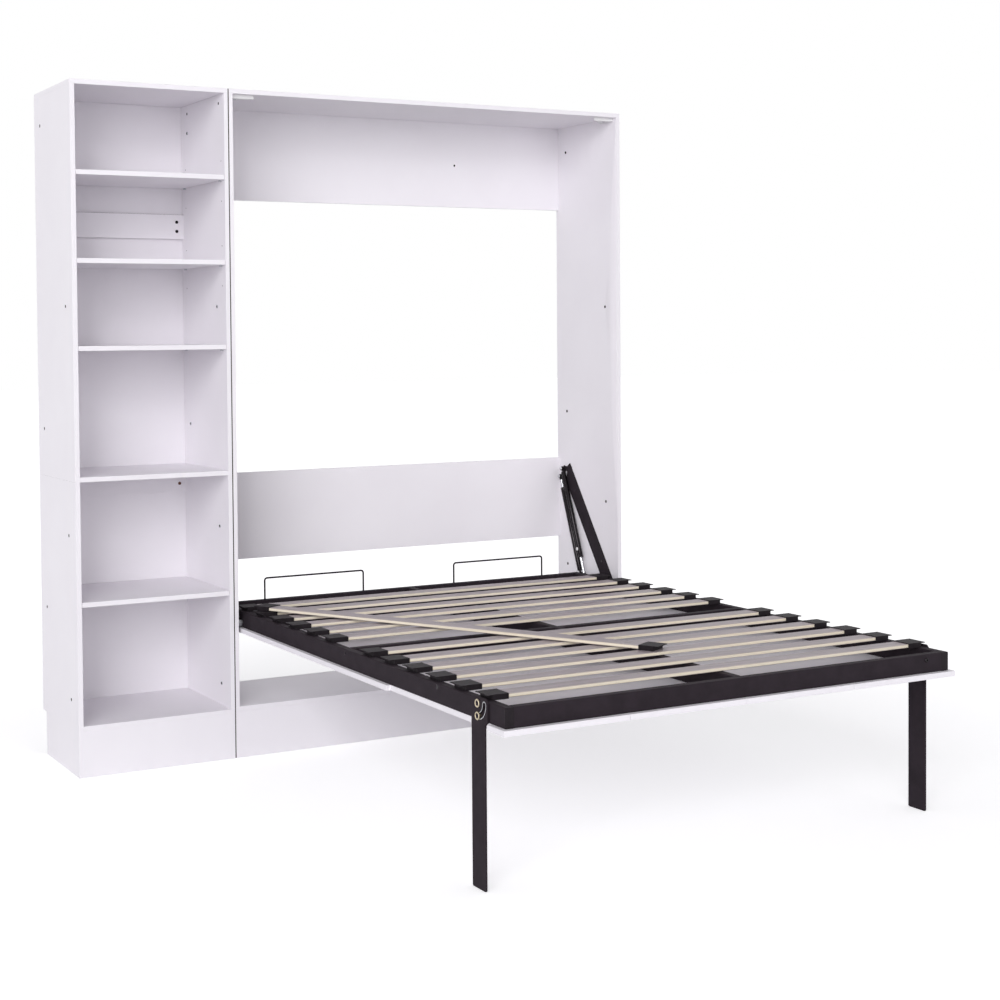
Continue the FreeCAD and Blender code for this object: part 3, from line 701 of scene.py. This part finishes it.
def make_shelf_strip():
    """A thin strip as high as the back rail under the fixed shelf, with a screw at each end."""
    low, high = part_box("bookcase_fixed_shelf")
    rail_low, rail_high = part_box("bookcase_back_rail")
    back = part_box("bookcase_back_lower")[0].y
    front = back - strip_thickness
    bottom = low.z - (rail_high.z - rail_low.z)
    profile = [(back, bottom), (front + board_round, bottom), (front, bottom + board_round),
               (front, low.z), (back, low.z)]
    data = bmesh.new()
    rings = []
    for x in (low.x, high.x):
        rings.append([data.verts.new((x, y, z)) for y, z in profile])
    skin(data, rings)
    data.faces.new(rings[0])
    data.faces.new(rings[1])
    new_piece("shelf_strip", data, "cabinet", "white_board")
    data = bmesh.new()
    for x in (low.x + shelf_screw_inset, high.x - shelf_screw_inset):
        place = Vector((x, front, bottom + shelf_screw_rise))
        lathe(data, round_head(flat_radius, flat_height, flat_socket), place, (0, -1, 0))
    new_piece("shelf_strip_screws", data, "cabinet", "copper_zinc")


def make_hole_plugs():
    """Black plugs inside the bookcase, under its top."""
    low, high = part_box("bookcase_fixed_shelf")
    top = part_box("bookcase_top")[0]
    data = bmesh.new()
    for x, facing in [(low.x, 1), (high.x, -1)]:
        for distance in plug_places:
            place = Vector((x, top.y + distance, top.z - plug_drop))
            lathe(data, dome(plug_radius, flat_height * 2), place, (facing, 0, 0))
    new_piece("hole_plugs", data, "cabinet", "black_plastic")


def make_joining_bolt_caps():
    """Flat heads on the bolts that join the bookcase to the bed cabinet."""
    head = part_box("joining_bolts")[0].x
    data = bmesh.new()
    for name, mount in mounts.items():
        if name.startswith("left_joining_hole"):
            place = Vector((head, mount["pos_m"][1], mount["pos_m"][2]))
            lathe(data, round_head(joint_cap_radius, flat_height, flat_socket), place, (-1, 0, 0))
    new_piece("joining_bolt_caps", data, "cabinet", "spring_black")


def make_hole_walls():
    """The bare board in the drilled holes, darkened into a painted shade, a ring of painted shade round each, and
    the painted shade in the spare pin holes.
    """
    data = bmesh.new()
    for mount in mounts.values():
        if mount["kind"] == "bore":
            radius = mount["dims"]["r_mm"] / 1000
            half = mount["dims"]["length_mm"] / 2000
            inside = radius * (1 - hole_wall_share)
            rim = radius * (1 + hole_shade_rim_share)
            lathe(data, [(radius, hole_shade_rim_height - half), (rim, -half), (rim, -hole_shade_rim_height - half),
                         (inside, -hole_shade_rim_height - half), (inside, half + hole_shade_rim_height),
                         (rim, half + hole_shade_rim_height), (rim, half), (radius, half - hole_shade_rim_height)],
                  mount["pos_m"], mount["axis"], loop=True)
    low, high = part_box("bookcase_fixed_shelf")
    shade = [(0, -pin_shade_depth * 2), (pin_hole_radius, -pin_shade_depth * 2),
             (pin_hole_radius, -pin_shade_depth), (0, -pin_shade_depth)]
    for number in pin_hole_shelves:
        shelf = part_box("bookcase_shelf_%d" % number)[0]
        for x, facing in [(low.x, 1), (high.x, -1)]:
            for distance in pin_columns:
                for rise in (-pin_pitch, pin_pitch):
                    place = Vector((x, shelf.y + distance, shelf.z - pin_drop + rise))
                    lathe(data, shade, place, (facing, 0, 0))
    new_piece("hole_shade_lining", data, "cabinet", "board_core")


def groove_line(data, start, end, across, outward, width, sink):
    """A thin dark bar with four sides along a joint, sunk under the face that outward points from: painted shade
    for the joint's gap.
    """
    rings = []
    for point in (start, end):
        centre = point - outward * sink
        corners = [centre - across * width / 2, centre + outward * groove_rise,
                   centre + across * width / 2, centre - outward * width / 2]
        rings.append([data.verts.new(corner) for corner in corners])
    skin(data, rings)
    data.faces.new(rings[0])
    data.faces.new(rings[1])


def make_joint_lines():
    """Painted shade: the dark line between the two cabinets, and fine ones between side boards and on the back
    rail.
    """
    right = Vector((1, 0, 0))
    forward = Vector((0, -1, 0))
    up = Vector((0, 0, 1))
    data = bmesh.new()
    low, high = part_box("bookcase_right_side_lower")
    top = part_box("bookcase_top")[1].z
    start = Vector((high.x, low.y, low.z + board_round))
    end = Vector((high.x, low.y, top - board_round))
    groove_line(data, start, end, right, forward, cabinet_line_width, -line_proud)
    for name, outward in seam_faces:
        low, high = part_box(name + "_side_lower")
        x = low.x if outward < 0 else high.x
        start = Vector((x, low.y + board_round, high.z))
        end = Vector((x, high.y - board_round, high.z))
        groove_line(data, start, end, up, Vector((outward, 0, 0)), seam_line_width, seam_line_sink)
    low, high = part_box("bookcase_back_rail")
    start = Vector((low.x, low.y, high.z - board_round))
    end = Vector((high.x, low.y, high.z - board_round))
    groove_line(data, start, end, up, forward, seam_line_width, -line_proud)
    new_piece("joint_shade_lines", data, "cabinet", "board_core")


def make_brace_rims():
    """A raised rim and a screw under each of the two corner blocks."""
    low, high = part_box("corner_braces")
    reach = high.y - low.y
    far = reach - brace_inset * brace_far_share
    spot = reach * brace_screw_share
    head = round_head(flat_radius, head_height / 2, flat_socket)
    rims = bmesh.new()
    screws = bmesh.new()
    for side, corner in [(1, low.x), (-1, high.x)]:
        points = []
        for across, back in [(brace_inset, brace_inset), (far, brace_inset), (brace_inset, far)]:
            points.append(Vector((corner + side * across, low.y + back, low.z)))
        tube(rims, points, brace_rim, brace_rim_sides, loop=True)
        lathe(screws, head, Vector((corner + side * spot, low.y + spot, low.z)), (0, 0, -1))
    new_piece("brace_rims", rims, "cabinet", "white_plastic")
    new_piece("brace_screws", screws, "cabinet", "zinc")


def make_camera():
    """A camera with the photograph's viewpoint, turned by yaw, pitch and roll from the +Y direction."""
    forward = Vector((math.sin(camera_yaw) * math.cos(camera_pitch),
                      math.cos(camera_yaw) * math.cos(camera_pitch),
                      -math.sin(camera_pitch)))
    level = Vector((math.cos(camera_yaw), -math.sin(camera_yaw), 0))
    down = forward.cross(level)
    right = level * math.cos(camera_roll) + down * math.sin(camera_roll)
    down = down * math.cos(camera_roll) - level * math.sin(camera_roll)
    turn = Matrix((right, -down, -forward)).transposed()
    data = bpy.data.cameras.new("camera")
    data.sensor_width = camera_sensor_mm
    data.lens = camera_lens_mm
    data.shift_x, data.shift_y = camera_shift
    camera = bpy.data.objects.new("camera", data)
    camera.matrix_world = Matrix.Translation(camera_place) @ turn.to_4x4()
    bpy.context.scene.collection.objects.link(camera)
    bpy.context.scene.camera = camera


def seen_directly(tree):
    """1 for rays of the camera and for those that mirrors and glass send on, 0 for all others."""
    path = tree.nodes.new("ShaderNodeLightPath")
    total = path.outputs["Is Camera Ray"]
    for name in ("Is Glossy Ray", "Is Transmission Ray"):
        larger = tree.nodes.new("ShaderNodeMath")
        larger.operation = "MAXIMUM"
        tree.links.new(total, larger.inputs[0])
        tree.links.new(path.outputs[name], larger.inputs[1])
        total = larger.outputs[0]
    return total


def make_world():
    """The room, white where it is seen and dimmer where it lights the part."""
    world = bpy.data.worlds.new("studio")
    world.use_nodes = True
    tree = world.node_tree
    tree.nodes.clear()
    seen = tree.nodes.new("ShaderNodeBackground")
    seen.inputs["Color"].default_value = (1, 1, 1, 1)
    glow = tree.nodes.new("ShaderNodeBackground")
    glow.inputs["Color"].default_value = (*room_colour, 1)
    glow.inputs["Strength"].default_value = room_strength
    mix = tree.nodes.new("ShaderNodeMixShader")
    out = tree.nodes.new("ShaderNodeOutputWorld")
    tree.links.new(seen_directly(tree), mix.inputs[0])
    tree.links.new(glow.outputs[0], mix.inputs[1])
    tree.links.new(seen.outputs[0], mix.inputs[2])
    tree.links.new(mix.outputs[0], out.inputs[0])
    bpy.context.scene.world = world
    bpy.context.scene.view_settings.view_transform = "Standard"


def make_lamps():
    """Round area lamps, all turned to one point."""
    for name, place, width, watts in lamps:
        data = bpy.data.lights.new(name, "AREA")
        data.shape = "DISK"
        data.size = width
        data.energy = watts
        lamp = bpy.data.objects.new(name, data)
        lamp.location = place
        lamp.rotation_euler = (lamp_aim - place).to_track_quat("-Z", "Y").to_euler()
        bpy.context.scene.collection.objects.link(lamp)


def make_floor():
    """A pale floor that shows white where nothing shades it, and keeps the object's shadow.

    The lamps reach less far than the floor does, so its glow grows away from the object.
    """
    mesh = bpy.data.meshes.new("floor")
    signs = [(-1, -1), (1, -1), (1, 1), (-1, 1)]
    corners = [(x * floor_reach, y * floor_reach, -floor_drop) for x, y in signs]
    mesh.from_pydata(corners, [], [(0, 1, 2, 3)])
    floor = bpy.data.objects.new("floor", mesh)
    bpy.context.scene.collection.objects.link(floor)
    material, shader, tree = new_material("floor", floor_roughness, floor_specular)
    shader.inputs["Base Color"].default_value = (*floor_colour, 1)
    shine = tree.nodes.new("ShaderNodeEmission")
    source = tree.nodes.new("ShaderNodeTexCoord")
    distance = tree.nodes.new("ShaderNodeVectorMath")
    distance.operation = "LENGTH"
    glow = tree.nodes.new("ShaderNodeMapRange")
    glow.interpolation_type = "SMOOTHSTEP"
    glow.inputs["From Min"].default_value = floor_near
    glow.inputs["From Max"].default_value = floor_far
    glow.inputs["To Min"].default_value = floor_glow_near
    glow.inputs["To Max"].default_value = floor_glow_far
    tree.links.new(source.outputs["Object"], distance.inputs[0])
    tree.links.new(distance.outputs["Value"], glow.inputs["Value"])
    tree.links.new(glow.outputs["Result"], shine.inputs["Strength"])
    both = tree.nodes.new("ShaderNodeAddShader")
    mix = tree.nodes.new("ShaderNodeMixShader")
    tree.links.new(shader.outputs[0], both.inputs[0])
    tree.links.new(shine.outputs[0], both.inputs[1])
    tree.links.new(seen_directly(tree), mix.inputs[0])
    tree.links.new(shader.outputs[0], mix.inputs[1])
    tree.links.new(both.outputs[0], mix.inputs[2])
    tree.links.new(mix.outputs[0], tree.nodes["Material Output"].inputs["Surface"])
    floor.data.materials.append(material)


finishes = {coat[0]: grained(*coat) for coat in coats}
finishes["slat_wood"] = slat_wood("slat_wood", 0.0)
finishes["slat_wood_turned"] = slat_wood("slat_wood_turned", loose_slat_turn)

make_camera()
make_world()
make_lamps()
make_floor()
paint_nodes()
make_stops()
make_leg_bolts()
make_slot_highlights()
make_rail_bolts()
make_plate_screws()
for side, word in sides:
    make_spring(side, word, "a", True)
    make_spring(side, word, "b", False)
make_shelf_cams()
make_back_rail_screws()
make_shelf_strip()
make_hole_plugs()
make_joining_bolt_caps()
make_hole_walls()
make_joint_lines()
make_brace_rims()
